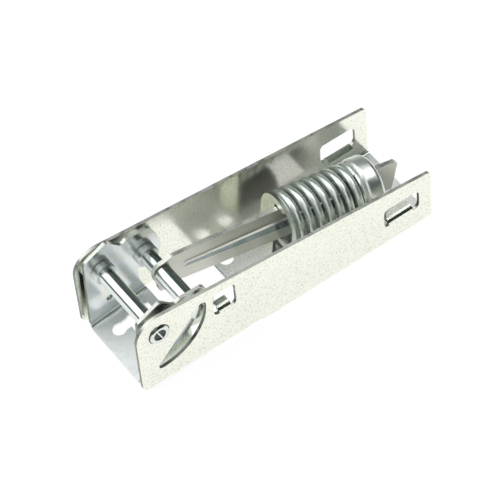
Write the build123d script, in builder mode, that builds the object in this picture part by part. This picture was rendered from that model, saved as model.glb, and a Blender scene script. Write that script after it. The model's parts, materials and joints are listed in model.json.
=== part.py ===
import os
from math import cos, radians, sin, sqrt, tan

from build123d import *

os.makedirs("parts", exist_ok=True)

# Driving dimensions in millimetres and degrees.
# X runs from the pivot end to the far end, Y to the rear wall, Z up from the mounting face.
sheet = 1.5
bend_inner = 1.0
channel_length = 146.0
channel_width = 45.0
pivot_inset = 10.6
pivot_height = 33.8
axis_tilt = 6.2
axis_yaw = 6.2
base_start = 60.0
wall_foot = 3.0
foot_corner = 3.0
end_corner = 2.5

# Half-moon opening round the pivot in both walls.
moon_radius = 22.7
moon_chord = 12.4
moon_angle = -44.0
moon_corner = 2.0

# Lanced windows in the walls, each with a tab folded inwards at its lower edge.
side_window_start = 36.6
side_window_length = 10.8
side_window_low = 23.2
side_window_high = 36.4
end_window_start = 121.6
end_window_length = 18.0
end_window_low = 11.6
end_window_high = 22.6
window_corner = 2.2
end_window_round = 2.8
tab_reach = 3.4
tab_bend_inner = 0.8
tab_relief = 0.3

# Screw holes and lanced spring stop in the base.
screw_hole_d = 6.6
screw_first = 65.5
screw_pitch_x = 11.6
screw_pitch_y = 25.0
stop_at = 55.2
stop_radius = 13.0
stop_front = 6.0
slot_play = 0.6
slot_rear_play = 1.3
slot_front_play = 2.3
stop_window_length = 33.0
stop_window_gap = 3.2
stop_window_corner = 2.0

# Lid bracket, measured from the pivot along and across its web.
bracket_tilt = 9.0
bracket_bend = 2.6
side_gap = 1.6
web_drop = 30.4
web_left = -14.0
web_right = 14.6
head_left = (-6.0, 9.6)
head_peak = (6.3, 13.2)
scallop_low = (11.3, 5.3)
lobe_top_left = (14.0, 6.5)
lobe_top_right = (25.0, 4.2)
lobe_right = (27.2, -4.0)
waist_high = (14.4, -12.0)
waist_low = (13.2, -23.0)
head_corner = 2.0
link_pin_at = (19.24, -8.3)
lobe_radius = 8.2
small_hole_d = 3.0
small_hole_at = (-1.5, -20.0)
web_window_left = -1.0
web_window_right = 10.8
web_window_half = 12.3
web_window_corner = 2.0
keyhole_at = -5.4
keyhole_side = 9.4
keyhole_radius = 3.0
keyhole_neck = 4.8

# Pins and washers.
pin_d = 7.2
spigot_d = 5.0
collar_d = 10.0
collar_length = 3.6
spacer_d = 7.8
running_clearance = 0.05
end_play = 0.05
pivot_head_d = 9.0
pivot_head_t = 1.0
link_head_d = 7.6
link_head_t = 0.8
head_edge = 0.4
crimp_d = 5.4
crimp_depth = 0.7
washer_d = 14.0

# Pull link, measured from the link pin along and across the spring axis.
link_t = 2.0
link_wide = 9.2
wide_from = 55.0
eye_at = 6.0
eye_left = -5.2
eye_low = -8.8
eye_high = 6.6
eye_corner = 3.0
bead_from = 9.4
bead_to = 84.0
bead_from_width = 3.6
bead_to_width = 6.4
bead_drop = 0.6
bead_depth = 1.2
bead_taper = 30.0
neck_half = 5.5
head_low = -6.8
head_high = 9.2
head_end = 110.4
head_slant = 1.8

# Spring and its cap.
wire_d = 3.4
spring_radius = 13.1
spring_length = 34.0
spring_turns = 8.0625
steps_per_turn = 16
closed_turns = 0.7
opening_turns = 0.5
closed_pitch = 3.5
coil_start = 75.0
grind_depth = 0.9
cap_radius = 13.6
cap_length = 9.6
cap_wall = 1.5
cap_edge = 2.2
cap_bore = 9.9
cap_neck_end = 1.0
cap_rim = 0.8

# Derived positions.
x_left = -channel_length / 2
x_right = channel_length / 2
half_width = channel_width / 2
inner_face = half_width - sheet
pivot_x = x_left + pivot_inset
cheek_outer = inner_face - side_gap
cheek_inner = cheek_outer - sheet
yaw = radians(axis_yaw)
tilt = radians(axis_tilt)
along = (cos(yaw) * cos(tilt), -sin(yaw), -cos(yaw) * sin(tilt))
aside = (sin(yaw) * cos(tilt), cos(yaw), -sin(yaw) * sin(tilt))
across = (sin(tilt), 0, cos(tilt))
web_along = (cos(radians(bracket_tilt)), sin(radians(bracket_tilt)))
web_across = (-sin(radians(bracket_tilt)), cos(radians(bracket_tilt)))
link_x = pivot_x + link_pin_at[0] * web_along[0] + link_pin_at[1] * web_across[0]
link_z = pivot_height + link_pin_at[0] * web_along[1] + link_pin_at[1] * web_across[1]
tangent_x = pivot_x + pivot_inset * across[0]
tangent_z = pivot_height + pivot_inset * across[2]
top_right_z = tangent_z - (x_right - tangent_x) * tan(radians(axis_tilt))
spring_end = stop_at + spring_length
cap_end = spring_end + cap_length


def on_axis(u, w=0.0, y=0.0):
    """Point at u along, w across and y aside from the spring axis."""
    start = (link_x, eye_at, link_z)
    return tuple(start[i] + u * along[i] + w * across[i] + y * aside[i] for i in range(3))


def on_bracket(p, q, y=0.0):
    """Point at p along and q across the bracket's web, from the pivot."""
    return (
        pivot_x + p * web_along[0] + q * web_across[0],
        y,
        pivot_height + p * web_along[1] + q * web_across[1],
    )


def axis_side_plane(y=0.0):
    """Upright plane along the spring axis, facing the front wall."""
    return Plane(origin=on_axis(0, 0, y), x_dir=along, z_dir=tuple(-part for part in aside))


def axis_end_plane(u):
    """Plane square to the spring axis at u, with the rear to the right and the height up."""
    return Plane(origin=on_axis(u), x_dir=aside, z_dir=along)


# The outer channel: one folded sheet with its lanced tabs and spring stop.
with BuildPart() as outer_channel:
    tall = 2 * pivot_height
    with BuildSketch(Plane.YZ.offset(x_left)):
        with Locations((0, tall / 2)):
            RectangleRounded(channel_width, tall, bend_inner + sheet)
        with Locations((0, sheet + tall / 2)):
            RectangleRounded(channel_width - 2 * sheet, tall, bend_inner, mode=Mode.SUBTRACT)
    extrude(amount=channel_length)
    with BuildSketch(Plane.XZ) as side_outline:
        with BuildLine():
            Line((x_left, wall_foot), (x_left, pivot_height))
            CenterArc((pivot_x, pivot_height), pivot_inset, 90 - axis_tilt, 90 + axis_tilt)
            Polyline(
                (tangent_x, tangent_z),
                (x_right, top_right_z),
                (x_right, 0),
                (x_left + base_start, 0),
                (x_left + base_start, wall_foot),
                (x_left, wall_foot),
            )
        make_face()
        fillet(side_outline.vertices().sort_by_distance((x_left, wall_foot, 0))[0], foot_corner)
        fillet(side_outline.vertices().sort_by_distance((x_right, top_right_z, 0))[0], end_corner)
    extrude(amount=channel_width, both=True, mode=Mode.INTERSECT)

    # Half-moon openings, riveted pivot holes and the end windows go through both walls.
    with BuildSketch(Plane.XZ) as moon:
        with Locations((pivot_x, pivot_height)):
            Circle(moon_radius)
        moon_side = 2 * moon_radius
        cut_x = pivot_x + (moon_chord - moon_side) * cos(radians(moon_angle))
        cut_z = pivot_height + (moon_chord - moon_side) * sin(radians(moon_angle))
        with Locations(Location((cut_x, cut_z, 0), (0, 0, moon_angle))):
            Rectangle(2 * moon_side, 2 * moon_side, mode=Mode.SUBTRACT)
        fillet(moon.vertices(), moon_corner)
    extrude(amount=channel_width, both=True, mode=Mode.SUBTRACT)
    with BuildSketch(Plane.XZ):
        with Locations((pivot_x, pivot_height)):
            Circle(spigot_d / 2)
    extrude(amount=channel_width, both=True, mode=Mode.SUBTRACT)
    with BuildSketch(Plane.XZ) as end_window:
        with Locations(
            (x_left + end_window_start + end_window_length / 2, (end_window_low + end_window_high) / 2)
        ):
            Rectangle(end_window_length, end_window_high - end_window_low)
        fillet(end_window.vertices().group_by(Axis.X)[0], window_corner)
        fillet(end_window.vertices().group_by(Axis.X)[-1], end_window_round)
    extrude(amount=channel_width, both=True, mode=Mode.SUBTRACT)
    with BuildSketch(Plane.XZ.offset(half_width + sheet)):
        with Locations(
            (x_left + side_window_start + side_window_length / 2, (side_window_low + side_window_high) / 2)
        ):
            RectangleRounded(side_window_length, side_window_high - side_window_low, window_corner)
    extrude(amount=-3 * sheet, mode=Mode.SUBTRACT)

    # Tabs folded inwards at the lower edge of each window.
    tab_mid = inner_face - tab_bend_inner
    tab_outer = tab_bend_inner + sheet
    for tab_start, tab_length, tab_low, far_corner, side in (
        (end_window_start, end_window_length, end_window_low, end_window_round, -1),
        (end_window_start, end_window_length, end_window_low, end_window_round, 1),
        (side_window_start, side_window_length, side_window_low, window_corner, -1),
    ):
        tab_x = x_left + tab_start + window_corner + tab_relief
        with BuildSketch(Plane.YZ.offset(tab_x)):
            with BuildLine():
                Line((side * half_width, tab_low - sheet), (side * half_width, tab_low))
                ThreePointArc(
                    (side * half_width, tab_low),
                    (side * (tab_mid + tab_outer / sqrt(2)), tab_low + tab_outer / sqrt(2)),
                    (side * tab_mid, tab_low + tab_outer),
                )
                Polyline(
                    (side * tab_mid, tab_low + tab_outer),
                    (side * (inner_face - tab_reach), tab_low + tab_outer),
                    (side * (inner_face - tab_reach), tab_low + tab_bend_inner),
                    (side * tab_mid, tab_low + tab_bend_inner),
                )
                ThreePointArc(
                    (side * tab_mid, tab_low + tab_bend_inner),
                    (side * (tab_mid + tab_bend_inner / sqrt(2)), tab_low + tab_bend_inner / sqrt(2)),
                    (side * inner_face, tab_low),
                )
                Polyline(
                    (side * inner_face, tab_low),
                    (side * inner_face, tab_low - sheet),
                    (side * half_width, tab_low - sheet),
                )
            make_face()
        extrude(amount=tab_length - window_corner - far_corner - 2 * tab_relief)

    # Screw holes and the opening that the spring stop was lanced from.
    with BuildSketch(Plane.XY):
        with Locations((x_left + screw_first + screw_pitch_x / 2, 0)):
            with GridLocations(screw_pitch_x, screw_pitch_y, 2, 2):
                Circle(screw_hole_d / 2)
    extrude(amount=2 * sheet, mode=Mode.SUBTRACT)
    stop_drop = (link_z + stop_at * along[2] - sheet / 2) / across[2]
    stop_foot_x = on_axis(stop_at, -stop_drop)[0]
    with BuildSketch(Plane.XY):
        with Locations(
            (
                stop_foot_x + stop_window_gap + stop_window_length / 2,
                (stop_radius - stop_front) / 2,
            )
        ):
            RectangleRounded(stop_window_length, stop_radius + stop_front, stop_window_corner)
    extrude(amount=2 * sheet, mode=Mode.SUBTRACT)

    # The spring stop: a tab stood up from the base, hooked over the link.
    stop_shoulder = sqrt(stop_radius**2 - stop_front**2)
    stop_crown = stop_radius / sqrt(2)
    slot_rear = link_t / 2 + slot_rear_play
    slot_front = link_t / 2 + bead_depth + slot_front_play
    slot_high = link_wide + slot_play
    with BuildSketch(axis_end_plane(stop_at)):
        with BuildLine():
            Polyline((slot_rear, -stop_drop), (stop_radius, -stop_drop), (stop_radius, 0))
            ThreePointArc((stop_radius, 0), (stop_crown, stop_crown), (-stop_front, stop_shoulder))
            Polyline(
                (-stop_front, stop_shoulder),
                (-slot_front, slot_high),
                (slot_rear, slot_high),
                (slot_rear, -stop_drop),
            )
        make_face()
    extrude(amount=-sheet)
outer_channel.part.label = "outer_channel"
export_step(outer_channel.part, "parts/outer_channel.step")

# The lid bracket: a folded U with two cheeks and a slotted web.
with BuildPart() as lid_bracket:
    section_plane = Plane(
        origin=on_bracket(2 * web_left, 0),
        x_dir=(0, 1, 0),
        z_dir=(web_along[0], 0, web_along[1]),
    )
    tall_cheek = 4 * web_drop
    with BuildSketch(section_plane):
        with Locations((0, -web_drop - sheet + tall_cheek / 2)):
            RectangleRounded(2 * cheek_outer, tall_cheek, bracket_bend + sheet)
        with Locations((0, -web_drop + tall_cheek / 2)):
            RectangleRounded(2 * cheek_inner, tall_cheek, bracket_bend, mode=Mode.SUBTRACT)
    extrude(amount=-5 * web_left)
    cheek_plane = Plane(
        origin=on_bracket(0, 0), x_dir=(web_along[0], 0, web_along[1]), z_dir=(0, -1, 0)
    )
    with BuildSketch(cheek_plane) as cheek:
        with BuildLine():
            Polyline(
                (web_left, -web_drop - sheet),
                head_left,
                head_peak,
                scallop_low,
                lobe_top_left,
                lobe_top_right,
                lobe_right,
                link_pin_at,
                waist_high,
                waist_low,
                (web_right, -web_drop),
                (web_right, -web_drop - sheet),
                close=True,
            )
        make_face()
        for corner in (head_left, head_peak, scallop_low, lobe_top_left, lobe_top_right):
            fillet(cheek.vertices().sort_by_distance((corner[0], corner[1], 0))[0], head_corner)
        with Locations(link_pin_at):
            Circle(lobe_radius)
        with Locations((0, 0)):
            Circle(pin_d / 2 + running_clearance, mode=Mode.SUBTRACT)
        with Locations(link_pin_at):
            Circle(spigot_d / 2, mode=Mode.SUBTRACT)
        with Locations(small_hole_at):
            Circle(small_hole_d / 2, mode=Mode.SUBTRACT)
    extrude(amount=channel_width, both=True, mode=Mode.INTERSECT)
    web_plane = Plane(
        origin=on_bracket(0, -web_drop - 2 * sheet),
        x_dir=(web_along[0], 0, web_along[1]),
        z_dir=(web_across[0], 0, web_across[1]),
    )
    with BuildSketch(web_plane):
        with Locations(((web_window_left + web_window_right) / 2, 0)):
            RectangleRounded(
                web_window_right - web_window_left, 2 * web_window_half, web_window_corner
            )
        with Locations((keyhole_at, -keyhole_side), (keyhole_at, keyhole_side)):
            Circle(keyhole_radius)
        neck_mid = (keyhole_at + web_window_right) / 2
        with Locations((neck_mid, -keyhole_side), (neck_mid, keyhole_side)):
            Rectangle(web_window_right - keyhole_at, keyhole_neck)
    extrude(amount=3 * sheet, mode=Mode.SUBTRACT)
lid_bracket.part.label = "lid_bracket"
export_step(lid_bracket.part, "parts/lid_bracket.step")

# The pivot pin: turned, with a collar beside the rear cheek, riveted over both walls.
with BuildPart() as pivot_pin:
    collar_end = cheek_inner - end_play
    head_end_y = half_width + pivot_head_t
    with BuildSketch(Plane(origin=(pivot_x, 0, pivot_height), x_dir=(1, 0, 0), z_dir=(0, 0, 1))):
        with BuildLine():
            Polyline(
                (0, -head_end_y + crimp_depth),
                (crimp_d / 2 - crimp_depth, -head_end_y + crimp_depth),
                (crimp_d / 2, -head_end_y),
                (pivot_head_d / 2 - head_edge, -head_end_y),
                (pivot_head_d / 2, -head_end_y + head_edge),
                (pivot_head_d / 2, -half_width),
                (spigot_d / 2, -half_width),
                (spigot_d / 2, -inner_face),
                (pin_d / 2, -inner_face),
                (pin_d / 2, collar_end - collar_length),
                (collar_d / 2, collar_end - collar_length),
                (collar_d / 2, collar_end),
                (pin_d / 2, collar_end),
                (pin_d / 2, inner_face),
                (spigot_d / 2, inner_face),
                (spigot_d / 2, half_width),
                (pivot_head_d / 2, half_width),
                (pivot_head_d / 2, head_end_y - head_edge),
                (pivot_head_d / 2 - head_edge, head_end_y),
                (crimp_d / 2, head_end_y),
                (crimp_d / 2 - crimp_depth, head_end_y - crimp_depth),
                (0, head_end_y - crimp_depth),
                close=True,
            )
        make_face()
    revolve(axis=Axis((pivot_x, 0, pivot_height), (0, 1, 0)))
pivot_pin.part.label = "pivot_pin"
export_step(pivot_pin.part, "parts/pivot_pin.step")

# The link pin: turned in steps, riveted into both cheeks.
with BuildPart() as link_pin:
    link_head_end = cheek_outer + link_head_t
    spacer_end = eye_at - link_t / 2 / cos(yaw) - spacer_d / 2 * tan(yaw) - end_play
    with BuildSketch(Plane(origin=(link_x, 0, link_z), x_dir=(1, 0, 0), z_dir=(0, 0, 1))):
        with BuildLine():
            Polyline(
                (0, -link_head_end),
                (link_head_d / 2, -link_head_end),
                (link_head_d / 2, -cheek_outer),
                (spigot_d / 2, -cheek_outer),
                (spigot_d / 2, -cheek_inner),
                (spacer_d / 2, -cheek_inner),
                (spacer_d / 2, spacer_end),
                (pin_d / 2, spacer_end),
                (pin_d / 2, cheek_inner - collar_length),
                (collar_d / 2, cheek_inner - collar_length),
                (collar_d / 2, cheek_inner),
                (spigot_d / 2, cheek_inner),
                (spigot_d / 2, cheek_outer),
                (link_head_d / 2, cheek_outer),
                (link_head_d / 2, link_head_end),
                (0, link_head_end),
                close=True,
            )
        make_face()
    revolve(axis=Axis((link_x, 0, link_z), (0, 1, 0)))
link_pin.part.label = "link_pin"
export_step(link_pin.part, "parts/link_pin.step")

# Flat washers that keep each cheek off the wall.
with BuildPart() as pivot_washer_front:
    with BuildSketch(Plane.XZ.offset(cheek_outer + end_play)):
        with Locations((pivot_x, pivot_height)):
            Circle(washer_d / 2)
            Circle(pin_d / 2 + running_clearance, mode=Mode.SUBTRACT)
    extrude(amount=side_gap - 2 * end_play)
pivot_washer_front.part.label = "pivot_washer_front"
export_step(pivot_washer_front.part, "parts/pivot_washer_front.step")

with BuildPart() as pivot_washer_rear:
    with BuildSketch(Plane.XZ.offset(-cheek_outer - end_play)):
        with Locations((pivot_x, pivot_height)):
            Circle(washer_d / 2)
            Circle(pin_d / 2 + running_clearance, mode=Mode.SUBTRACT)
    extrude(amount=-(side_gap - 2 * end_play))
pivot_washer_rear.part.label = "pivot_washer_rear"
export_step(pivot_washer_rear.part, "parts/pivot_washer_rear.step")

# The pull link: a widening strip with a pressed bead, an eye and a hammer head.
with BuildPart() as pull_link:
    strip_end = cap_end - cap_wall - end_play
    with BuildSketch(axis_side_plane()) as link_outline:
        with BuildLine():
            Polyline(
                (eye_left, eye_low),
                (wide_from, -link_wide),
                (strip_end, -link_wide),
                (strip_end, link_wide),
                (wide_from, link_wide),
                (eye_left, eye_high),
                close=True,
            )
        make_face()
        fillet(link_outline.vertices().sort_by_distance((eye_left, 0, 0))[:2], eye_corner)
        with Locations((cap_end - cap_wall, 0)):
            Rectangle(2 * cap_wall + 2 * end_play, 2 * neck_half)
        with BuildLine():
            Polyline(
                (cap_end + end_play, head_low),
                (head_end - head_slant, head_low),
                (head_end, head_high - cap_wall),
                (head_end - cap_wall, head_high),
                (cap_end + end_play, head_high),
                close=True,
            )
        make_face()
    extrude(amount=link_t / 2, both=True)
    with BuildSketch(Plane.XZ):
        with Locations((link_x, link_z)):
            Circle(pin_d / 2 + running_clearance)
    extrude(amount=channel_width, both=True, mode=Mode.SUBTRACT)
    for bead_face, bead_inset, bead_mode in (
        (-link_t / 2, 0, Mode.ADD),
        (link_t / 2, bead_depth / 2, Mode.SUBTRACT),
    ):
        with BuildSketch(axis_side_plane(bead_face)):
            with Locations((bead_from + bead_from_width / 2, -bead_drop)):
                Circle(bead_from_width / 2 - bead_inset)
            with Locations((bead_to - bead_to_width / 2, -bead_drop)):
                Circle(bead_to_width / 2 - bead_inset)
            make_hull()
        extrude(amount=bead_depth, taper=bead_taper, mode=bead_mode)
pull_link.part.label = "pull_link"
export_step(pull_link.part, "parts/pull_link.step")

# The compression spring: the end turns close up and are ground flat.
with BuildPart() as compression_spring:
    coil_radius = spring_radius - wire_d / 2
    coil_height = spring_length - wire_d + 2 * grind_depth
    coil_steps = round(spring_turns * steps_per_turn)
    openness = []
    for step in range(coil_steps):
        from_end = min(step + 0.5, coil_steps - step - 0.5) / steps_per_turn
        ramp = min(max((from_end - closed_turns) / opening_turns, 0), 1)
        openness.append(ramp * ramp * (3 - 2 * ramp))
    closed_rise = closed_pitch / steps_per_turn
    extra_rise = (coil_height - coil_steps * closed_rise) / sum(openness)
    coil_u = stop_at + wire_d / 2 - grind_depth
    coil_points = []
    for step in range(coil_steps + 1):
        turn = radians(coil_start + 360 * step / steps_per_turn)
        coil_points.append(on_axis(coil_u, coil_radius * sin(turn), coil_radius * cos(turn)))
        if step < coil_steps:
            coil_u += closed_rise + extra_rise * openness[step]
    with BuildLine() as coil_path:
        Spline(*coil_points)
    with BuildSketch(Plane(origin=coil_path.line @ 0, z_dir=coil_path.line % 0)):
        Circle(wire_d / 2)
    sweep(is_frenet=True)
    for ground_at, outward in ((stop_at, -wire_d), (spring_end, wire_d)):
        with BuildSketch(axis_end_plane(ground_at)):
            Circle(2 * spring_radius)
        extrude(amount=outward, mode=Mode.SUBTRACT)
compression_spring.part.label = "compression_spring"
export_step(compression_spring.part, "parts/compression_spring.step")

# The spring cap: a turned cup with a neck that the spring bears on, and a crossed slot in its end.
with BuildPart() as spring_cap:
    cap_plane = axis_side_plane()
    neck_radius = cap_bore + cap_wall
    neck_sweep = cap_radius - neck_radius
    with BuildSketch(cap_plane) as cap_section:
        with BuildLine():
            Line((spring_end, cap_bore), (spring_end, neck_radius))
            Line((spring_end, neck_radius), (spring_end + cap_neck_end, neck_radius))
            RadiusArc(
                (spring_end + cap_neck_end, neck_radius),
                (spring_end + cap_neck_end + neck_sweep, cap_radius),
                neck_sweep,
            )
            Polyline(
                (spring_end + cap_neck_end + neck_sweep, cap_radius),
                (cap_end, cap_radius),
                (cap_end, 0),
                (cap_end - cap_wall, 0),
                (cap_end - cap_wall, cap_bore),
                (spring_end, cap_bore),
            )
        make_face()
        fillet(cap_section.vertices().sort_by_distance((cap_end, cap_radius, 0))[0], cap_edge)
    revolve(axis=Axis(on_axis(0), along))
    with BuildSketch(axis_end_plane(cap_end - 2 * cap_wall)):
        Rectangle(link_t + slot_play, 2 * (neck_half + slot_play / 2))
        Rectangle(2 * (head_high + slot_play), link_t + slot_play)
    extrude(amount=3 * cap_wall, mode=Mode.SUBTRACT)
spring_cap.part.label = "spring_cap"
export_step(spring_cap.part, "parts/spring_cap.step")
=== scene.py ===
"""Looks of a spring-loaded lid hinge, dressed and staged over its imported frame."""

import json
from math import cos, pi, radians, sin

import bmesh
import bpy
import numpy as np
from bpy.props import FloatProperty, FloatVectorProperty, PointerProperty
from mathutils import Matrix, Vector
from mathutils.geometry import tessellate_polygon

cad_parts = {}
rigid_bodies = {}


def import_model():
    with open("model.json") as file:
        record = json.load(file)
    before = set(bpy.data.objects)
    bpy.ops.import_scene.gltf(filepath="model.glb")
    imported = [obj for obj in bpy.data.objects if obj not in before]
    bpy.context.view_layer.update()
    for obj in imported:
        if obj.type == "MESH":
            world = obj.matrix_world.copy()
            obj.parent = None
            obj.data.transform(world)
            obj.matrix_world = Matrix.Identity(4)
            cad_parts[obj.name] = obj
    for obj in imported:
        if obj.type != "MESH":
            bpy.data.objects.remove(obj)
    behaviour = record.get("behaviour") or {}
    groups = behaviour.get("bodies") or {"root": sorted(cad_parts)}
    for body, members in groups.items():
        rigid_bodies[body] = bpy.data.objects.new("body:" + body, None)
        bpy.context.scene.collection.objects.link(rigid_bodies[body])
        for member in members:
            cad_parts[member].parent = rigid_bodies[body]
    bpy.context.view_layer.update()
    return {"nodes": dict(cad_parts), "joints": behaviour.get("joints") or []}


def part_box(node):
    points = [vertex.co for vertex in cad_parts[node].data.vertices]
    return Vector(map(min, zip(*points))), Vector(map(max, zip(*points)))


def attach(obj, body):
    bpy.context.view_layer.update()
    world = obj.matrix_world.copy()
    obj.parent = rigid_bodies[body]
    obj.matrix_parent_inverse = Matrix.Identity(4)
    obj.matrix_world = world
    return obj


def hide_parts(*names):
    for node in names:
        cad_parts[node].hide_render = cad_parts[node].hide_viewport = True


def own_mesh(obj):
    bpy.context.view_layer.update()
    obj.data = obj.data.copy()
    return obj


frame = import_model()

bl_info = {
    "name": "Lid hinge",
    "version": (1, 0, 0),
    "blender": (4, 5, 0),
    "location": "View3D > Sidebar > Lid hinge",
    "description": "Dresses a spring-loaded lid hinge and sets its stage",
    "category": "Object",
}

MM = 0.001
STEPS_ROUND = 96

# The spring axis runs down and to the front from the link's eye to the far end.
AXIS_TILT = radians(6.2)
AXIS_YAW = radians(6.2)
AXIS_TURN = Matrix.Rotation(AXIS_TILT, 3, "Y") @ Matrix.Rotation(-AXIS_YAW, 3, "Z")
ALONG, ASIDE, ACROSS = AXIS_TURN.transposed()
JOINT_AT = {joint["name"]: Vector(joint["pos_m"]) for joint in frame["joints"]}
EYE = JOINT_AT["link_tilt"] + Vector((0, 0.006, 0))
PIVOT = JOINT_AT["lid_swing"]
LINK_PIN = JOINT_AT["link_tilt"]
SPRING_FROM = 0.0552

# The camera stands where the photograph's perspective puts it.
CAMERA_TARGET = Vector((0.002, 0, 0.018))
CAMERA_AZIMUTH = radians(-31.885)
CAMERA_ELEVATION = radians(52.324)
CAMERA_ROLL = radians(-5.416)
CAMERA_DISTANCE = 1.1503
CAMERA_LENS = 203.2
CAMERA_SENSOR = 36.0
CAMERA_SHIFT = (-0.0199, -0.0173)


def colour_prop(name, description, default):
    """A colour that a user may change."""
    return FloatVectorProperty(
        name=name, description=description, default=default, subtype="COLOR", size=3, min=0, max=1
    )


def length_prop(name, description, default):
    """A length that a user may change."""
    return FloatProperty(
        name=name, description=description, default=default, unit="LENGTH", precision=5, min=0
    )


def power_prop(name, description, default):
    """A lamp's power that a user may change."""
    return FloatProperty(name=name, description=description, default=default, unit="POWER", min=0)


class HingeFinishes(bpy.types.PropertyGroup):
    """Colours of the hinge's metals."""

    sheet: colour_prop("Sheet", "Galvanised sheet of the channel", (0.91, 0.92, 0.82))
    sheet_speck: colour_prop("Sheet specks", "Specks in the galvanised sheet", (0.62, 0.65, 0.56))
    base: colour_prop("Base", "Duller sheet of the channel's base", (0.93, 0.95, 0.93))
    base_speck: colour_prop("Base specks", "Specks in the base", (0.60, 0.63, 0.62))
    web: colour_prop("Web", "Plated sheet of the bracket's web", (0.93, 0.96, 0.96))
    bracket: colour_prop("Bracket", "Plated sheet of the lid bracket", (0.76, 0.80, 0.81))
    bracket_tint: colour_prop("Bracket tint", "Warm clouds in the plating", (0.80, 0.79, 0.70))
    edge: colour_prop("Sheared edge", "Cut edges of the sheet", (0.22, 0.24, 0.21))
    # Painted highlight: the rim colour makes cut edges that face up lighter than the other sheared
    # edges.
    rim: colour_prop("Rim", "Upper edges, rubbed brighter", (0.66, 0.68, 0.63))
    # Painted shade: this dark colour fills the hollows of the riveted ends and a thin ring round
    # each head.
    painted_rivet_shade: colour_prop("Painted rivet shade", "Dark film in the riveted ends", (0.06, 0.085, 0.07))
    pin: colour_prop("Pin", "Polished steel of the pins", (0.74, 0.78, 0.76))
    link: colour_prop("Link", "Plated strip of the link and washers", (0.94, 0.95, 0.86))
    # Painted shade: this dark colour goes on the bead's lower flank at the front, which faces down.
    flank: colour_prop("Flank", "Rubbed flank of the link's bead", (0.26, 0.31, 0.32))
    wire: colour_prop("Wire", "Drawn wire of the spring", (0.88, 0.93, 0.90))
    cap: colour_prop("Cap", "Turned cap at the spring's end", (0.93, 0.95, 0.92))


class HingeSpring(bpy.types.PropertyGroup):
    """Sizes of the compression spring."""

    wire_radius: length_prop("Wire radius", "Half the wire's thickness", 0.0017)
    coil_radius: length_prop("Coil radius", "Radius of the wire's centre line", 0.0114)
    length: length_prop("Length", "Length over the ground ends", 0.034)
    ground: length_prop("Ground depth", "How much of the wire is ground off at an end", 0.0024)
    closed_pitch: length_prop("Closed pitch", "Rise per turn in the closed end turns", 0.0035)
    turns: FloatProperty(name="Turns", description="Turns of wire", default=8.0625, min=2)
    closed_turns: FloatProperty(
        name="Closed turns", description="Turns that lie close at each end", default=0.7, min=0
    )
    opening_turns: FloatProperty(
        name="Opening turns", description="Turns over which the pitch opens", default=0.5, min=0.01
    )
    start: FloatProperty(
        name="Start", description="Where the wire starts", default=radians(75), subtype="ANGLE"
    )


class HingePins(bpy.types.PropertyGroup):
    """Sizes of the turned pins."""

    pin: length_prop("Pin radius", "Radius of the pins", 0.0036)
    spacer: length_prop("Spacer radius", "Radius of the link pin's spacer", 0.0039)
    neck: length_prop("Neck radius", "Radius of the link pin where the link's eye sits", 0.0023)
    collar: length_prop("Collar radius", "Radius of the collars", 0.005)
    bar: length_prop("Bar width", "Width of the bar across a riveted end", 0.0008)


class HingeLink(bpy.types.PropertyGroup):
    """Sizes of the pull link."""

    thickness: length_prop("Thickness", "Thickness of the strip", 0.002)
    bore: length_prop("Bore", "Radius of the eye's hole", 0.0024)
    bead: length_prop("Bead height", "Height of the pressed bead", 0.0012)


class HingeStage(bpy.types.PropertyGroup):
    """Floor, light and backdrop."""

    floor: colour_prop("Floor", "Colour of the floor", (0.30, 0.30, 0.30))
    backdrop: colour_prop("Backdrop", "Dim light from the rear", (0.17, 0.20, 0.185))
    opening: colour_prop("Opening", "Dark room that the hinge is seen from", (0.02, 0.035, 0.028))
    softbox: power_prop("Softbox", "Power of the overhead softbox", 3.5)
    top_strip: power_prop("Top strip", "Power of the strip overhead", 2.7)
    fill: power_prop("Fill", "Power of the fill at the front", 1.3)


def new_object(name, mesh):
    """Links a piece into the scene."""
    piece = bpy.data.objects.new(name, mesh)
    bpy.context.scene.collection.objects.link(piece)
    return piece


def add_node(tree, kind, **values):
    """A node with its settings, and its inputs by name or number."""
    node = tree.nodes.new(kind)
    for key, value in values.pop("inputs", {}).items():
        node.inputs[key].default_value = value
    for key, value in values.items():
        setattr(node, key, value)
    return node


def link_into(tree, source, target):
    """Joins an output to an input."""
    tree.links.new(source, target)


def smooth_range(tree, given, made):
    """A node that eases one range into another."""
    return add_node(
        tree, "ShaderNodeMapRange", interpolation_type="SMOOTHSTEP",
        inputs={"From Min": given[0], "From Max": given[1], "To Min": made[0], "To Max": made[1]},
    )


def grain_group():
    """Specks, clouds and a fine height, in the piece's own coordinates."""
    group = bpy.data.node_groups.new("metal_grain", "ShaderNodeTree")
    sockets = group.interface
    sockets.new_socket("Speck Scale", in_out="INPUT", socket_type="NodeSocketFloat")
    sockets.new_socket("Cloud Scale", in_out="INPUT", socket_type="NodeSocketFloat")
    for name in ("Speck", "Cloud", "Height"):
        sockets.new_socket(name, in_out="OUTPUT", socket_type="NodeSocketFloat")
    given = add_node(group, "NodeGroupInput")
    result = add_node(group, "NodeGroupOutput")
    place = add_node(group, "ShaderNodeTexCoord")
    speck = add_node(group, "ShaderNodeTexNoise", inputs={"Detail": 3.0, "Roughness": 0.65})
    cloud = add_node(group, "ShaderNodeTexNoise", inputs={"Detail": 2.0, "Roughness": 0.5})
    for noise, scale in ((speck, "Speck Scale"), (cloud, "Cloud Scale")):
        link_into(group, place.outputs["Object"], noise.inputs["Vector"])
        link_into(group, given.outputs[scale], noise.inputs["Scale"])
    dots = smooth_range(group, (0.48, 0.68), (0.0, 1.0))
    mist = smooth_range(group, (0.35, 0.65), (0.0, 1.0))
    link_into(group, speck.outputs["Fac"], dots.inputs["Value"])
    link_into(group, cloud.outputs["Fac"], mist.inputs["Value"])
    link_into(group, dots.outputs["Result"], result.inputs["Speck"])
    link_into(group, mist.outputs["Result"], result.inputs["Cloud"])
    link_into(group, speck.outputs["Fac"], result.inputs["Height"])
    return group


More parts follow.
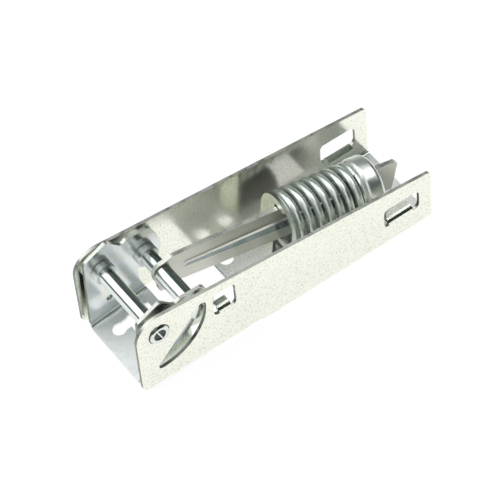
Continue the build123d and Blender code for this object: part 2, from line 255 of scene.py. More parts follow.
def line_group():
    """Fine drawn or turned lines: noise stretched along one direction."""
    group = bpy.data.node_groups.new("drawn_lines", "ShaderNodeTree")
    sockets = group.interface
    sockets.new_socket("Stretch", in_out="INPUT", socket_type="NodeSocketVector")
    sockets.new_socket("Line", in_out="OUTPUT", socket_type="NodeSocketFloat")
    given = add_node(group, "NodeGroupInput")
    result = add_node(group, "NodeGroupOutput")
    place = add_node(group, "ShaderNodeTexCoord")
    pull = add_node(group, "ShaderNodeVectorMath", operation="MULTIPLY")
    noise = add_node(
        group, "ShaderNodeTexNoise", inputs={"Scale": 1.0, "Detail": 2.0, "Roughness": 0.6}
    )
    link_into(group, place.outputs["Object"], pull.inputs[0])
    link_into(group, given.outputs["Stretch"], pull.inputs[1])
    link_into(group, pull.outputs["Vector"], noise.inputs["Vector"])
    link_into(group, noise.outputs["Fac"], result.inputs["Line"])
    return group


def shared_group(name, build):
    """A node group that is built once."""
    return bpy.data.node_groups.get(name) or build()


def metal(
    name, main, second, rough, speck_scale, cloud_scale, speck_share, stretch=None, bump=0.06
):
    """A metal with specks, clouds, an uneven polish and, with stretch, drawn lines."""
    material = bpy.data.materials.new(name)
    material.use_nodes = True
    tree = material.node_tree
    tree.nodes.clear()
    out = add_node(tree, "ShaderNodeOutputMaterial")
    shader = add_node(tree, "ShaderNodeBsdfPrincipled", inputs={"Metallic": 1.0})
    link_into(tree, shader.outputs["BSDF"], out.inputs["Surface"])
    grain = add_node(
        tree, "ShaderNodeGroup", node_tree=shared_group("metal_grain", grain_group)
    )
    grain.inputs["Speck Scale"].default_value = speck_scale
    grain.inputs["Cloud Scale"].default_value = cloud_scale
    share = add_node(
        tree, "ShaderNodeMapRange", inputs={"To Min": 0.0, "To Max": speck_share}
    )
    link_into(tree, grain.outputs["Speck"], share.inputs["Value"])
    tint = add_node(tree, "ShaderNodeMix", data_type="RGBA")
    tint.inputs[6].default_value = (*main, 1)
    tint.inputs[7].default_value = (*second, 1)
    link_into(tree, share.outputs["Result"], tint.inputs[0])
    link_into(tree, tint.outputs[2], shader.inputs["Base Color"])
    polish = add_node(
        tree, "ShaderNodeMapRange", inputs={"To Min": rough[0], "To Max": rough[1]}
    )
    link_into(tree, grain.outputs["Cloud"], polish.inputs["Value"])
    link_into(tree, polish.outputs["Result"], shader.inputs["Roughness"])
    relief = add_node(
        tree, "ShaderNodeBump", inputs={"Strength": bump, "Distance": 0.0001}
    )
    if stretch:
        lines = add_node(
            tree, "ShaderNodeGroup", node_tree=shared_group("drawn_lines", line_group)
        )
        lines.inputs["Stretch"].default_value = stretch
        link_into(tree, lines.outputs["Line"], relief.inputs["Height"])
    else:
        link_into(tree, grain.outputs["Height"], relief.inputs["Height"])
    link_into(tree, relief.outputs["Normal"], shader.inputs["Normal"])
    return material


def dress(node, surface, *others):
    """Gives a CAD node its surface, and each other material where its test holds."""
    mesh = frame["nodes"][node].data
    mesh.materials.clear()
    mesh.materials.append(surface)
    count = len(mesh.polygons)
    normal = np.empty(count * 3, np.float32)
    centre = np.empty(count * 3, np.float32)
    mesh.polygons.foreach_get("normal", normal)
    mesh.polygons.foreach_get("center", centre)
    index = np.zeros(count, np.int32)
    for number, (material, holds) in enumerate(others, 1):
        mesh.materials.append(material)
        index[holds(normal.reshape(-1, 3), centre.reshape(-1, 3))] = number
    mesh.polygons.foreach_set("material_index", index)
    mesh.update()


def finishes():
    """The hinge's colours."""
    return bpy.context.scene.hinge_finishes


def edge_material():
    """Dark, dull metal where the sheet was sheared."""
    return bpy.data.materials.get("sheared_edge") or metal(
        "sheared_edge", finishes().edge, (0.50, 0.51, 0.47), (0.38, 0.55), 1400, 180, 0.6,
        bump=0.12,
    )


def rim_highlight_material():
    """Upper edges of the sheet, with a painted highlight: lighter than the other cut edges because
    they face up.
    """
    return bpy.data.materials.get("rubbed_rim") or metal(
        "rubbed_rim", finishes().rim, finishes().edge, (0.26, 0.40), 1400, 180, 0.25,
        bump=0.08,
    )


def strip_material():
    """Plated strip of the link and the washers."""
    return bpy.data.materials.get("plated_strip") or metal(
        "plated_strip", finishes().link, (0.60, 0.61, 0.54), (0.15, 0.24), 1300, 90, 0.4,
        stretch=(260, 4000, 4000), bump=0.05,
    )


class HINGE_OT_dress_sheet(bpy.types.Operator):
    """Dress the channel and the lid bracket in galvanised and plated sheet"""

    bl_idname = "hinge.dress_sheet"
    bl_label = "Sheet metal"

    # Depths of the walls and cheeks, heights that their bends end at, and the stop's reach.
    WALL_SKIN = 0.0025
    WALL_FROM = 0.0027
    BASE_TOP = 0.0016
    CHEEK_SKIN = 0.0016
    CHEEK_FROM = 0.008
    STOP_REACH = 0.004
    STOP_FROM = 0.004
    # A face whose normal has less than this across the sheet is a cut edge.
    EDGE_ON, STOP_EDGE_ON = 0.3, 0.5
    # A face whose normal rises more than this is a rim with a painted highlight, the base or the
    # web.
    WALL_RIM_UP, CHEEK_RIM_UP, BASE_UP, WEB_LEVEL = 0.6, 0.5, 0.7, 0.8

    def execute(self, context):
        """Gives both folded pieces their surfaces and sheared edges."""
        colours = finishes()
        galvanised = metal(
            "galvanised_sheet", colours.sheet, colours.sheet_speck, (0.14, 0.24), 1100, 70, 0.75
        )
        plated = metal(
            "plated_sheet", colours.bracket, colours.bracket_tint, (0.16, 0.26), 260, 60, 0.9
        )
        base = metal(
            "galvanised_base", colours.base, colours.base_speck, (0.38, 0.50), 1300, 70, 1.0,
            bump=0.10,
        )
        web = metal(
            "plated_web", colours.web, colours.bracket, (0.46, 0.58), 260, 60, 0.5
        )
        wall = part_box("outer_channel")[1].y - self.WALL_SKIN
        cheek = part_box("lid_bracket")[1].y - self.CHEEK_SKIN
        along, eye = np.array(ALONG), np.array(EYE)

        def channel_edge(normal, centre):
            aside, height = np.abs(centre[:, 1]), centre[:, 2]
            in_wall = (aside > wall) & (height > self.WALL_FROM)
            in_base = (aside < wall) & (height < self.BASE_TOP)
            cut_wall = in_wall & (np.abs(normal[:, 1]) < self.EDGE_ON)
            return cut_wall | (in_base & (np.abs(normal[:, 2]) < self.EDGE_ON))

        def bracket_edge(normal, centre):
            in_cheek = (np.abs(centre[:, 1]) > cheek) & (centre[:, 2] > self.CHEEK_FROM)
            return in_cheek & (np.abs(normal[:, 1]) < self.EDGE_ON)

        def stop_edge(normal, centre):
            ahead = (centre - eye) @ along
            at_stop = np.abs(ahead - SPRING_FROM) < self.STOP_REACH
            inside = (np.abs(centre[:, 1]) < wall) & (centre[:, 2] > self.STOP_FROM)
            return at_stop & inside & (np.abs(normal @ along) < self.STOP_EDGE_ON)

        # Cut edges that face up get the rim material, a painted highlight.
        def channel_rim_highlight(normal, centre):
            return channel_edge(normal, centre) & (normal[:, 2] > self.WALL_RIM_UP)

        def bracket_rim_highlight(normal, centre):
            return bracket_edge(normal, centre) & (normal[:, 2] > self.CHEEK_RIM_UP)

        def channel_base(normal, centre):
            return (normal[:, 2] > self.BASE_UP) & (centre[:, 2] < self.BASE_TOP)

        def bracket_web(normal, centre):
            return np.abs(normal[:, 2]) > self.WEB_LEVEL

        dress("outer_channel", galvanised, (base, channel_base), (edge_material(), channel_edge),
              (rim_highlight_material(), channel_rim_highlight), (edge_material(), stop_edge))
        dress("lid_bracket", plated, (web, bracket_web), (edge_material(), bracket_edge),
              (rim_highlight_material(), bracket_rim_highlight))
        return {"FINISHED"}


class Shell:
    """Collects closed shapes, in metres, with a material number for each face."""

    def __init__(self):
        self.points, self.faces, self.index = [], [], []

    def add(self, points, faces, material=0):
        """Takes up one shape."""
        start = len(self.points)
        self.points.extend(points)
        self.faces.extend(tuple(start + i for i in face) for face in faces)
        self.index.extend([material] * len(faces))

    def piece(self, name, materials, body, slot, node, sharp=32):
        """Makes the mesh, with outward normals, and puts it in the CAD node's place."""
        mesh = bpy.data.meshes.new(name)
        mesh.from_pydata(self.points, [], self.faces)
        for material in materials:
            mesh.materials.append(material)
        mesh.polygons.foreach_set("material_index", self.index)
        shape = bmesh.new()
        shape.from_mesh(mesh)
        bmesh.ops.recalc_face_normals(shape, faces=shape.faces)
        shape.to_mesh(mesh)
        shape.free()
        if not mesh.polygons:
            raise RuntimeError(name + " came out empty")
        mesh.shade_smooth()
        mesh.set_sharp_from_angle(angle=radians(sharp))
        made = new_object(name, mesh)
        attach(made, body)
        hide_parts(node)
        return made


def turned(centre, profile, closed=False, steps=STEPS_ROUND):
    """Points and faces turned about a line along Y; the profile holds (radius, y) in metres."""
    points, faces, rings = [], [], []
    for radius, y in profile:
        count = steps if radius else 1
        rings.append((len(points), count))
        for step in range(count):
            angle = 2 * pi * step / steps
            points.append((centre.x + radius * cos(angle), y, centre.z + radius * sin(angle)))
    after_rings = rings[1:] + rings[:1] if closed else rings[1:]
    for (first, n), (second, m) in zip(rings, after_rings):
        for step in range(steps):
            after = step + 1
            ring = (first + step % n, first + after % n, second + after % m, second + step % m)
            faces.append(tuple(dict.fromkeys(ring)))
    return points, faces


def prism(base, top):
    """Points and faces between two loops of equally many points."""
    count = len(base)
    faces = [tuple(range(count)), tuple(range(count, 2 * count))]
    for i in range(count):
        after = (i + 1) % count
        faces.append((i, after, count + after, count + i))
    return [*base, *top], faces


class HINGE_OT_turn_pins(bpy.types.Operator):
    """Turn the two pins, with their riveted ends, and dress the pivot washers"""

    bl_idname = "hinge.turn_pins"
    bl_label = "Pins and washers"

    # Radius and distance from the middle, in millimetres, of the riveted ends.
    HEAD = ((0, 22.80), (1.9, 22.76), (2.5, 23.0), (2.8, 23.36), (3.2, 23.5), (3.8, 23.5),
            (4.2, 23.38), (4.45, 23.1), (4.4, 22.8), (4.2, 22.5))
    LINK_HEAD = ((0, 20.2), (3.4, 20.2), (3.8, 19.8), (3.8, 19.4), (2.5, 19.4))
    BAR_LEAN = radians(20.7)
    SPIGOT = 0.0025
    WALL_INSIDE, WALL_OUTSIDE = 0.021, 0.0225
    PIVOT_COLLAR = (0.01425, 0.01785)
    LINK_COLLAR = (0.0143, 0.0179)
    EYE_SEAT = (0.00452, 0.0075)
    COLLAR_EDGE = 0.0004
    PIN_EDGE = 0.0002
    # A thin ring on the wall round each riveted head, in the dark rivet colour: a painted shadow
    # round the head.
    RING = ((0.00446, 0.02249), (0.00446, 0.02256), (0.00494, 0.02254), (0.00494, 0.02249))
    # Half-widths' share, reach and height of the bar's foot and top.
    BAR_LOOPS = ((1.0, 0.0024, 0.0227), (0.7, 0.0027, 0.0233))
    # Places in the pins' list of materials, after the polished steel.
    OXIDE, SATIN = 1, 2

    def execute(self, context):
        """Builds both pins in the CAD pins' places."""
        sizes = context.scene.hinge_pins
        polished = metal(
            "bright_steel", finishes().pin, (0.62, 0.63, 0.62), (0.08, 0.15), 900, 140, 0.35,
            stretch=(300, 5200, 300), bump=0.04,
        )
        # Dark material for painted shade in the riveted ends' hollows and the painted shadow ring
        # round each head.
        painted_rivet_shade = metal(
            "rivet_oxide", finishes().painted_rivet_shade, (0.20, 0.24, 0.21), (0.45, 0.60), 1800, 200, 0.8,
            bump=0.15,
        )
        satin = metal(
            "satin_steel", finishes().pin, (0.66, 0.68, 0.67), (0.34, 0.46), 900, 140, 0.35,
            bump=0.05,
        )
        self.pivot_pin(sizes, (polished, painted_rivet_shade, satin))
        self.link_pin(sizes, (polished, painted_rivet_shade, satin))
        for node in ("pivot_washer_front", "pivot_washer_rear"):
            dress(node, strip_material())
        return {"FINISHED"}

    def collar(self, sizes, start, end):
        """Profile of a collar with broken edges."""
        edge = self.COLLAR_EDGE
        return (
            (sizes.pin, start), (sizes.collar - edge, start), (sizes.collar, start + edge),
            (sizes.collar, end - edge), (sizes.collar - edge, end), (sizes.pin, end),
        )

    def satin(self, shell, first, rows):
        """Gives rows of a turned shape the duller finish."""
        start, count = first * STEPS_ROUND, rows * STEPS_ROUND
        shell.index[start : start + count] = [self.SATIN] * count

    def pivot_pin(self, sizes, materials):
        """The pivot pin: a collar at the rear, and a bar across each riveted end."""
        head = [(radius * MM, y * MM) for radius, y in self.HEAD]
        front = [(radius, -y) for radius, y in head]
        end = [(sizes.pin, self.WALL_INSIDE), (self.SPIGOT, self.WALL_INSIDE)]
        end += [(self.SPIGOT, self.WALL_OUTSIDE)]
        shank = [(radius, -y) for radius, y in end[::-1]]
        collar_from = len(front) + len(shank)
        shank += self.collar(sizes, *self.PIVOT_COLLAR)
        shell = Shell()
        shell.add(*turned(PIVOT, front + shank + end + head[::-1]))
        # The hollow of each riveted end gets painted shade; each ring round a head is a painted
        # shadow.
        hollow = 3 * STEPS_ROUND
        shell.index[:hollow] = [self.OXIDE] * hollow
        shell.index[-hollow:] = [self.OXIDE] * hollow
        self.satin(shell, collar_from, 5)
        for side in (-1, 1):
            ring = [(radius, side * y) for radius, y in self.RING]
            shell.add(*turned(PIVOT, ring, closed=True), self.OXIDE)
            shell.add(*self.bar(sizes.bar / 2, side))
        shell.piece("pivot_pin_turned", materials, "channel", "bright_steel", "pivot_pin")

    def bar(self, half, side):
        """The bar that stands in a riveted end's hollow, leaning a little."""
        along = Vector((-sin(self.BAR_LEAN), 0, cos(self.BAR_LEAN)))
        aside = Vector((cos(self.BAR_LEAN), 0, sin(self.BAR_LEAN)))
        loops = []
        for share, reach, y in self.BAR_LOOPS:
            loops.append([
                PIVOT + aside * half * share * i + along * reach * j + Vector((0, side * y, 0))
                for i, j in ((-1, -1), (1, -1), (1, 1), (-1, 1))
            ])
        return prism(*loops)

    def link_pin(self, sizes, materials):
        """The link pin: a spacer before the eye, a neck in it and a collar at the rear."""
        head = [(radius * MM, y * MM) for radius, y in self.LINK_HEAD]
        edge, (seat, rear) = self.PIN_EDGE, self.EYE_SEAT
        cheek = self.LINK_COLLAR[1]
        profile = [(radius, -y) for radius, y in head]
        profile += [(self.SPIGOT, -cheek), (sizes.spacer, -cheek), (sizes.spacer, seat - edge)]
        profile += [(sizes.spacer - edge, seat), (sizes.neck, seat), (sizes.neck, rear)]
        profile += [(sizes.pin - edge, rear), (sizes.pin, rear + edge)]
        collar_from = len(profile)
        profile += self.collar(sizes, *self.LINK_COLLAR)[:-1]
        profile += [(self.SPIGOT, cheek)] + head[::-1]
        shell = Shell()
        shell.add(*turned(LINK_PIN, profile))
        self.satin(shell, collar_from, 5)
        shell.piece("link_pin_turned", materials, "bracket", "bright_steel", "link_pin")


class HINGE_OT_press_link(bpy.types.Operator):
    """Press the pull link and dress the spring's cap"""

    bl_idname = "hinge.press_link"
    bl_label = "Link and cap"

    # Millimetres along and across the spring axis, from the link's eye.
    EYE_OUTLINE = ((8, 7.17), (4.8, 6.98), (3.4, 6.5), (2.2, 5.7), (0.6, 4.9), (-1.4, 4.3),
                   (-2.9, 3.1), (-3.7, 1.6), (-3.95, 0), (-3.8, -2), (-3.2, -4.2), (-2.3, -6.4),
                   (-1.6, -8.2), (-1.4, -9.8), (-0.9, -10.9), (0.1, -11.4), (1.2, -11.1),
                   (2.1, -10.2), (3.2, -9.3), (4.6, -8.9), (8, -8.89))
    STRIP_OUTLINE = ((55, -9.2), (97.25, -9.2), (97.25, -5.5), (98.85, -5.5), (98.85, -6.8),
                     (108.6, -6.8), (110.4, 7.7), (108.9, 9.2), (98.85, 9.2), (98.85, 5.5),
                     (97.25, 5.5), (97.25, 9.2), (55, 9.2))
    BEAD_OUTLINE = ((9.6, -2.2), (84, -4.1), (84, 3.45), (9.6, 0.70))
    # Along, across, and the share of the bead's height that it reaches there.
    BEAD_CREST = ((11.6, 0.42, 0.6), (81.5, 3.14, 1.0))
    BORE_STEPS = 40
    # Places in the link's list of materials, after the strip's face.
    EDGE, FLANK, RIM = 1, 2, 3

    def execute(self, context):
        """Builds the link in the CAD link's place and brightens the cap."""
        sizes = context.scene.hinge_link
        angles = [2 * pi * i / self.BORE_STEPS for i in range(self.BORE_STEPS)]
        bore = [(sizes.bore / MM * cos(angle), sizes.bore / MM * sin(angle)) for angle in angles]
        loops = ([*self.EYE_OUTLINE, *self.STRIP_OUTLINE], bore, self.BEAD_OUTLINE)
        flat = [Vector((u, w, 0)) for loop in loops for u, w in loop]
        triangles = tessellate_polygon([[Vector((u, w, 0)) for u, w in loop] for loop in loops])
        count = len(flat)
        half = sizes.thickness / 2
        points = [self.place(at.x, at.y, side) for side in (-half, half) for at in flat]
        points += [
            self.place(u, w, side - sizes.bead * share)
            for side in (-half, half) for u, w, share in self.BEAD_CREST
        ]
        faces = [tuple(count * side + i for i in face) for side in (0, 1) for face in triangles]
        first = len(loops[0]) + len(bore)
        # The bead's lower flank at the front comes first of the faces that follow; it gets painted
        # shade.
        flank = len(faces)
        for side in (0, 1):
            a, b, c, d = (count * side + first + i for i in range(4))
            near, far = (2 * count + 2 * side + i for i in range(2))
            faces += [(a, b, far, near), (near, far, c, d), (d, a, near), (b, c, far)]
        sides = []
        for start, length in ((0, len(loops[0])), (len(loops[0]), len(bore))):
            for i in range(length):
                here, after = start + i, start + (i + 1) % length
                sides.append((here, after, count + after, count + here))
        shell = Shell()
        shell.add(points, faces)
        shell.index[flank] = self.FLANK
        shell.faces += sides
        # Side faces that face up get the rim material, a painted highlight; the others are sheared
        # edges.
        upper = [(points[here] - points[after]).cross(ASIDE).z > 0.0 for here, after, _, _ in sides]
        shell.index += [self.RIM if up else self.EDGE for up in upper]
        # Dark material for painted shade on the bead's lower flank.
        flank_shade = metal(
            "rubbed_flank", finishes().flank, (0.30, 0.34, 0.33), (0.20, 0.30), 1300, 90, 0.5,
            bump=0.05,
        )
        shell.piece(
            "pull_link_pressed", (strip_material(), edge_material(), flank_shade, rim_highlight_material()),
            "link", "plated_strip", "pull_link", 20,
        )
        turned_cap = metal(
            "bright_cap", finishes().cap, (0.74, 0.76, 0.74), (0.30, 0.42), 700, 120, 0.3,
            bump=0.03,
        )
        dress("spring_cap", turned_cap)
        return {"FINISHED"}

    def place(self, u, w, side):
        """Point along and across the spring axis in millimetres, and aside in metres."""
        return EYE + ALONG * (u * MM) + ACROSS * (w * MM) + ASIDE * side


class CoilTree:
    """Geometry nodes that wind a compression spring with closed, ground ends."""

    SIZES = (
        ("Wire Radius", "wire_radius"),
        ("Coil Radius", "coil_radius"),
        ("Length", "length"),
        ("Ground Depth", "ground"),
        ("Closed Pitch", "closed_pitch"),
        ("Turns", "turns"),
        ("Closed Turns", "closed_turns"),
        ("Opening Turns", "opening_turns"),
        ("Start", "start"),
    )
    STEPS = 480
    ROUND = 20

    def __init__(self):
        self.tree = bpy.data.node_groups.new("wound_spring", "GeometryNodeTree")
        sockets = self.tree.interface
        sockets.new_socket("Geometry", in_out="INPUT", socket_type="NodeSocketGeometry")
        self.ids = {}
        for name, prop in self.SIZES:
            socket = sockets.new_socket(name, in_out="INPUT", socket_type="NodeSocketFloat")
            self.ids[prop] = socket.identifier
        for name, kind in (("Place", "Vector"), ("Turn", "Vector"), ("Material", "Material")):
            socket = sockets.new_socket(name, in_out="INPUT", socket_type="NodeSocket" + kind)
            self.ids[name.lower()] = socket.identifier
        sockets.new_socket("Geometry", in_out="OUTPUT", socket_type="NodeSocketGeometry")
        self.given = add_node(self.tree, "NodeGroupInput").outputs
        self.build()

    def math(self, operation, *values):
        """A math node over numbers and outputs."""
        node = add_node(self.tree, "ShaderNodeMath", operation=operation)
        for slot, value in zip(node.inputs, values):
            if isinstance(value, (int, float)):
                slot.default_value = value
            else:
                link_into(self.tree, value, slot)
        return node.outputs[0]

    def build(self):
        """Rise along the axis by turns, then the wire round its line, ground at both ends."""
        tree, given, math = self.tree, self.given, self.math
        line = add_node(tree, "GeometryNodeCurvePrimitiveLine")
        sampled = add_node(tree, "GeometryNodeResampleCurve")
        sampled.inputs["Count"].default_value = self.STEPS
        link_into(tree, line.outputs["Curve"], sampled.inputs["Curve"])
        share = add_node(tree, "GeometryNodeSplineParameter").outputs["Factor"]

        turn = math("MULTIPLY", share, given["Turns"])
        left = math("SUBTRACT", given["Turns"], turn)
        from_end = math("MINIMUM", turn, left)
        rise = math(
            "ADD",
            math("SUBTRACT", given["Length"], math("MULTIPLY", given["Wire Radius"], 2.0)),
            math("MULTIPLY", given["Ground Depth"], 2.0),
        )
        half_turns = math("MULTIPLY", given["Turns"], 0.5)
        half_rise = math("MULTIPLY", rise, 0.5)
        spare = math("SUBTRACT", half_rise, math("MULTIPLY", half_turns, given["Closed Pitch"]))
        open_turns = math(
            "SUBTRACT",
            math("SUBTRACT", half_turns, given["Closed Turns"]),
            math("MULTIPLY", given["Opening Turns"], 0.5),
        )
        extra_pitch = math("DIVIDE", spare, open_turns)
        past = math(
            "MAXIMUM",
            math(
                "DIVIDE",
                math("SUBTRACT", from_end, given["Closed Turns"]),
                given["Opening Turns"],
            ),
            0.0,
        )
        ramp = math("MINIMUM", past, 1.0)
        eased = math(
            "SUBTRACT",
            math("POWER", ramp, 3.0),
            math("MULTIPLY", math("POWER", ramp, 4.0), 0.5),
        )
        opened = math("ADD", eased, math("SUBTRACT", past, ramp))
        near = math(
            "ADD",
            math("MULTIPLY", from_end, given["Closed Pitch"]),
            math("MULTIPLY", math("MULTIPLY", opened, given["Opening Turns"]), extra_pitch),
        )
        past_half = math("GREATER_THAN", share, 0.5)
        far = math("SUBTRACT", rise, near)
        height = math(
            "ADD",
            math("MULTIPLY", near, math("SUBTRACT", 1.0, past_half)),
            math("MULTIPLY", far, past_half),
        )
        along = math("ADD", height, math("SUBTRACT", given["Wire Radius"], given["Ground Depth"]))
        angle = math("ADD", math("MULTIPLY", turn, 2 * pi), given["Start"])
        point = add_node(tree, "ShaderNodeCombineXYZ")
        link_into(tree, along, point.inputs["X"])
        for part, axis in (("COSINE", "Y"), ("SINE", "Z")):
            off_axis = math("MULTIPLY", math(part, angle), given["Coil Radius"])
            link_into(tree, off_axis, point.inputs[axis])
        placed = add_node(tree, "GeometryNodeSetPosition")
        link_into(tree, sampled.outputs["Curve"], placed.inputs["Geometry"])
        link_into(tree, point.outputs["Vector"], placed.inputs["Position"])

        profile = add_node(tree, "GeometryNodeCurvePrimitiveCircle")
        profile.inputs["Resolution"].default_value = self.ROUND
        link_into(tree, given["Wire Radius"], profile.inputs["Radius"])
        wire = add_node(tree, "GeometryNodeCurveToMesh")
        wire.inputs["Fill Caps"].default_value = True
        link_into(tree, placed.outputs["Geometry"], wire.inputs["Curve"])
        link_into(tree, profile.outputs["Curve"], wire.inputs["Profile Curve"])

        where = add_node(tree, "ShaderNodeSeparateXYZ")
        position = add_node(tree, "GeometryNodeInputPosition")
        link_into(tree, position.outputs["Position"], where.inputs[0])
        ground = math("MINIMUM", math("MAXIMUM", where.outputs["X"], 0.0), given["Length"])
        flat = add_node(tree, "ShaderNodeCombineXYZ")
        link_into(tree, ground, flat.inputs["X"])
        link_into(tree, where.outputs["Y"], flat.inputs["Y"])
        link_into(tree, where.outputs["Z"], flat.inputs["Z"])
        ground_ends = add_node(tree, "GeometryNodeSetPosition")
        link_into(tree, wire.outputs["Mesh"], ground_ends.inputs["Geometry"])
        link_into(tree, flat.outputs["Vector"], ground_ends.inputs["Position"])

        turned = add_node(tree, "GeometryNodeTransform")
        link_into(tree, ground_ends.outputs["Geometry"], turned.inputs["Geometry"])
        link_into(tree, given["Place"], turned.inputs["Translation"])
        link_into(tree, given["Turn"], turned.inputs["Rotation"])
        smooth = add_node(tree, "GeometryNodeSetShadeSmooth")
        link_into(tree, turned.outputs["Geometry"], smooth.inputs["Geometry"])
        realized = add_node(tree, "GeometryNodeRealizeInstances")
        link_into(tree, smooth.outputs["Geometry"], realized.inputs["Geometry"])
        painted = add_node(tree, "GeometryNodeSetMaterial")
        link_into(tree, realized.outputs["Geometry"], painted.inputs["Geometry"])
        link_into(tree, given["Material"], painted.inputs["Material"])
        out = add_node(tree, "NodeGroupOutput")
        link_into(tree, painted.outputs["Geometry"], out.inputs["Geometry"])


def plain_mesh(piece):
    """Turns a piece's modifier result into its own mesh."""
    bpy.context.view_layer.update()
    seen = piece.evaluated_get(bpy.context.evaluated_depsgraph_get())
    made = bpy.data.meshes.new_from_object(seen)
    piece.modifiers.clear()
    piece.data = made
    if not made.polygons:
        raise RuntimeError(piece.name + " came out empty")


class HINGE_OT_wind_spring(bpy.types.Operator):
    """Wind the compression spring between the stop and the cap"""

    bl_idname = "hinge.wind_spring"
    bl_label = "Spring"

    def execute(self, context):
        """Builds the coil and attaches it to the link's body."""
        sizes = context.scene.hinge_spring
        wire = metal(
            "spring_wire", finishes().wire, (0.62, 0.66, 0.64), (0.30, 0.42), 900, 160, 0.6,
            bump=0.05,
        )
        spring = new_object("spring_coil", bpy.data.meshes.new("spring_coil"))
        coil = CoilTree()
        nodes = spring.modifiers.new("wound_spring", "NODES")
        nodes.node_group = coil.tree
        for _, prop in CoilTree.SIZES:
            nodes[coil.ids[prop]] = getattr(sizes, prop)
        nodes[coil.ids["place"]] = EYE + ALONG * SPRING_FROM
        nodes[coil.ids["turn"]] = tuple(AXIS_TURN.to_euler())
        nodes[coil.ids["material"]] = wire
        plain_mesh(spring)
        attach(spring, "link")
        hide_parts("compression_spring")
        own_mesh(spring)
        return {"FINISHED"}


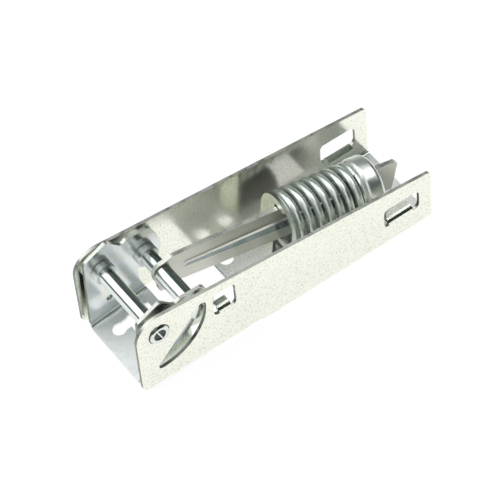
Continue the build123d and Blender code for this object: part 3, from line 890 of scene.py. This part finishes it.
class HINGE_OT_set_stage(bpy.types.Operator):
    """Set the floor, the surround, the lamps and the camera"""

    bl_idname = "hinge.set_stage"
    bl_label = "Stage"

    FLOOR_HALF = 3.0
    FLOOR_DROP = 0.0001
    FLOOR_GLOW = 0.88
    # Middle, reach and glow of the patches of painted shade on the floor under the channel's base.
    SHADES = (
        (Vector((0.0225, 0.0, 0.0)), Vector((0.0145, 0.0190, 1.0)), 0.01),
        (Vector((0.0450, 0.0, 0.0)), Vector((0.0220, 0.0190, 1.0)), 0.50),
    )
    SHADE_FADE = (0.88, 1.0)
    # Each lamp's name, the direction it stands in, and its size.
    LAMPS = (
        ("softbox", (-0.42, 0.52, 0.745), (0.85, 0.9)),
        ("top_strip", (0.32, 0.06, 0.94), (0.7, 0.56)),
        ("fill", (-0.42, -0.50, 0.76), (0.7, 0.7)),
    )
    LAMP_DISTANCE = 0.9
    OPENING_TO = Vector((0.30, -0.86, 0.42)).normalized()
    OPENING_EDGE = (cos(radians(105)), cos(radians(82)))

    def execute(self, context):
        """Builds the stage round the hinge."""
        stage = context.scene.hinge_stage
        self.floor(stage)
        self.surround(context.scene, stage)
        for name, direction, size in self.LAMPS:
            self.lamp(name, direction, size, getattr(stage, name))
        self.camera(context.scene)
        context.scene.view_settings.view_transform = "Standard"
        return {"FINISHED"}

    def floor(self, stage):
        """A pale floor that keeps the hinge's shadow."""
        half = self.FLOOR_HALF
        mesh = bpy.data.meshes.new("floor")
        corners = [
            (x * half, y * half, -self.FLOOR_DROP) for x, y in ((-1, -1), (1, -1), (1, 1), (-1, 1))
        ]
        mesh.from_pydata(corners, [], [(0, 1, 2, 3)])
        floor = new_object("floor", mesh)
        material = bpy.data.materials.new("floor")
        material.use_nodes = True
        tree = material.node_tree
        shader = tree.nodes["Principled BSDF"]
        shader.inputs["Base Color"].default_value = (*stage.floor, 1)
        shader.inputs["Roughness"].default_value = 1.0
        shader.inputs["Specular IOR Level"].default_value = 0.0
        shader.inputs["Emission Color"].default_value = (1, 1, 1, 1)
        glow = add_node(tree, "ShaderNodeMath", operation="MULTIPLY")
        link_into(tree, self.seen(tree, 1.0), glow.inputs[0])
        link_into(tree, self.shade(tree), glow.inputs[1])
        link_into(tree, glow.outputs[0], shader.inputs["Emission Strength"])
        mesh.materials.append(material)

    def shade(self, tree):
        """The floor's glow, with painted shade where the channel's base lies over it."""
        place = add_node(tree, "ShaderNodeTexCoord")
        levels = []
        for middle, reach, glow in self.SHADES:
            away = add_node(tree, "ShaderNodeVectorMath", operation="SUBTRACT")
            link_into(tree, place.outputs["Object"], away.inputs[0])
            away.inputs[1].default_value = middle
            share = add_node(tree, "ShaderNodeVectorMath", operation="DIVIDE")
            link_into(tree, away.outputs["Vector"], share.inputs[0])
            share.inputs[1].default_value = reach
            far = add_node(tree, "ShaderNodeVectorMath", operation="LENGTH")
            link_into(tree, share.outputs["Vector"], far.inputs[0])
            level = smooth_range(tree, self.SHADE_FADE, (glow, self.FLOOR_GLOW))
            link_into(tree, far.outputs["Value"], level.inputs["Value"])
            levels.append(level.outputs["Result"])
        least = add_node(tree, "ShaderNodeMath", operation="MINIMUM")
        for level, slot in zip(levels, least.inputs):
            link_into(tree, level, slot)
        return least.outputs[0]

    def seen(self, tree, strength):
        """That strength for what the camera, metal and glass see, and nothing else."""
        rays = add_node(tree, "ShaderNodeLightPath")
        either = add_node(tree, "ShaderNodeMath", operation="MAXIMUM")
        link_into(tree, rays.outputs["Is Camera Ray"], either.inputs[0])
        link_into(tree, rays.outputs["Is Glossy Ray"], either.inputs[1])
        every = add_node(tree, "ShaderNodeMath", operation="MAXIMUM")
        link_into(tree, either.outputs[0], every.inputs[0])
        link_into(tree, rays.outputs["Is Transmission Ray"], every.inputs[1])
        level = add_node(tree, "ShaderNodeMath", operation="MULTIPLY")
        link_into(tree, every.outputs[0], level.inputs[0])
        level.inputs[1].default_value = strength
        return level.outputs[0]

    def surround(self, scene, stage):
        """Pale all round, with one dark opening, as in a light tent."""
        world = bpy.data.worlds.new("surround")
        world.use_nodes = True
        scene.world = world
        tree = world.node_tree
        sky = tree.nodes["Background"]
        place = add_node(tree, "ShaderNodeTexCoord")
        towards = add_node(tree, "ShaderNodeVectorMath", operation="DOT_PRODUCT")
        link_into(tree, place.outputs["Generated"], towards.inputs[0])
        towards.inputs[1].default_value = self.OPENING_TO
        share = smooth_range(tree, self.OPENING_EDGE, (0.0, 1.0))
        link_into(tree, towards.outputs["Value"], share.inputs["Value"])
        blend = add_node(tree, "ShaderNodeMix", data_type="RGBA")
        blend.inputs[6].default_value = (*stage.backdrop, 1)
        blend.inputs[7].default_value = (*stage.opening, 1)
        link_into(tree, share.outputs["Result"], blend.inputs[0])
        link_into(tree, blend.outputs[2], sky.inputs["Color"])

    def lamp(self, name, direction, size, power):
        """A rectangular lamp that faces the hinge."""
        data = bpy.data.lights.new(name, "AREA")
        data.shape = "RECTANGLE"
        data.size, data.size_y = size
        data.energy = power
        lamp = bpy.data.objects.new(name, data)
        bpy.context.scene.collection.objects.link(lamp)
        away = Vector(direction).normalized()
        lamp.location = CAMERA_TARGET + away * self.LAMP_DISTANCE
        lamp.rotation_mode = "QUATERNION"
        lamp.rotation_quaternion = away.to_track_quat("Z", "Y")

    def camera(self, scene):
        """The photograph's viewpoint."""
        azimuth, elevation = CAMERA_AZIMUTH, CAMERA_ELEVATION
        right = Vector((cos(azimuth), sin(azimuth), 0))
        up = Vector((-sin(azimuth) * sin(elevation), cos(azimuth) * sin(elevation), cos(elevation)))
        back = right.cross(up)
        across = right * cos(CAMERA_ROLL) + up * sin(CAMERA_ROLL)
        upward = up * cos(CAMERA_ROLL) - right * sin(CAMERA_ROLL)
        data = bpy.data.cameras.new("camera")
        data.sensor_width = CAMERA_SENSOR
        data.lens = CAMERA_LENS
        data.shift_x, data.shift_y = CAMERA_SHIFT
        camera = bpy.data.objects.new("camera", data)
        scene.collection.objects.link(camera)
        turn = Matrix((across, upward, back)).transposed().to_4x4()
        camera.matrix_world = Matrix.Translation(CAMERA_TARGET + back * CAMERA_DISTANCE) @ turn
        scene.camera = camera


class HINGE_PT_hinge(bpy.types.Panel):
    """Lists the hinge's settings and steps"""

    bl_idname = "HINGE_PT_hinge"
    bl_label = "Lid hinge"
    bl_space_type = "VIEW_3D"
    bl_region_type = "UI"
    bl_category = "Lid hinge"

    def draw(self, context):
        """Draws the settings and a button for each step."""
        for name in SETTINGS:
            settings = getattr(context.scene, name)
            box = self.layout.box()
            for prop in settings.bl_rna.properties:
                if not prop.is_readonly and prop.identifier != "name":
                    box.prop(settings, prop.identifier)
        for step in STEPS:
            self.layout.operator(step.bl_idname)


SETTINGS = {
    "hinge_finishes": HingeFinishes,
    "hinge_pins": HingePins,
    "hinge_link": HingeLink,
    "hinge_spring": HingeSpring,
    "hinge_stage": HingeStage,
}
STEPS = (
    HINGE_OT_dress_sheet,
    HINGE_OT_turn_pins,
    HINGE_OT_press_link,
    HINGE_OT_wind_spring,
    HINGE_OT_set_stage,
)
CLASSES = (*SETTINGS.values(), *STEPS, HINGE_PT_hinge)


def register():
    """Adds the classes and the scene's settings."""
    for item in CLASSES:
        bpy.utils.register_class(item)
    for name, group in SETTINGS.items():
        setattr(bpy.types.Scene, name, PointerProperty(type=group))


def unregister():
    """Takes them away again."""
    for name in SETTINGS:
        delattr(bpy.types.Scene, name)
    for item in reversed(CLASSES):
        bpy.utils.unregister_class(item)


def main():
    """Builds everything in order."""
    register()
    bpy.ops.hinge.dress_sheet()
    bpy.ops.hinge.turn_pins()
    bpy.ops.hinge.press_link()
    bpy.ops.hinge.wind_spring()
    bpy.ops.hinge.set_stage()
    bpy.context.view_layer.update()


if __name__ == "__main__":
    main()
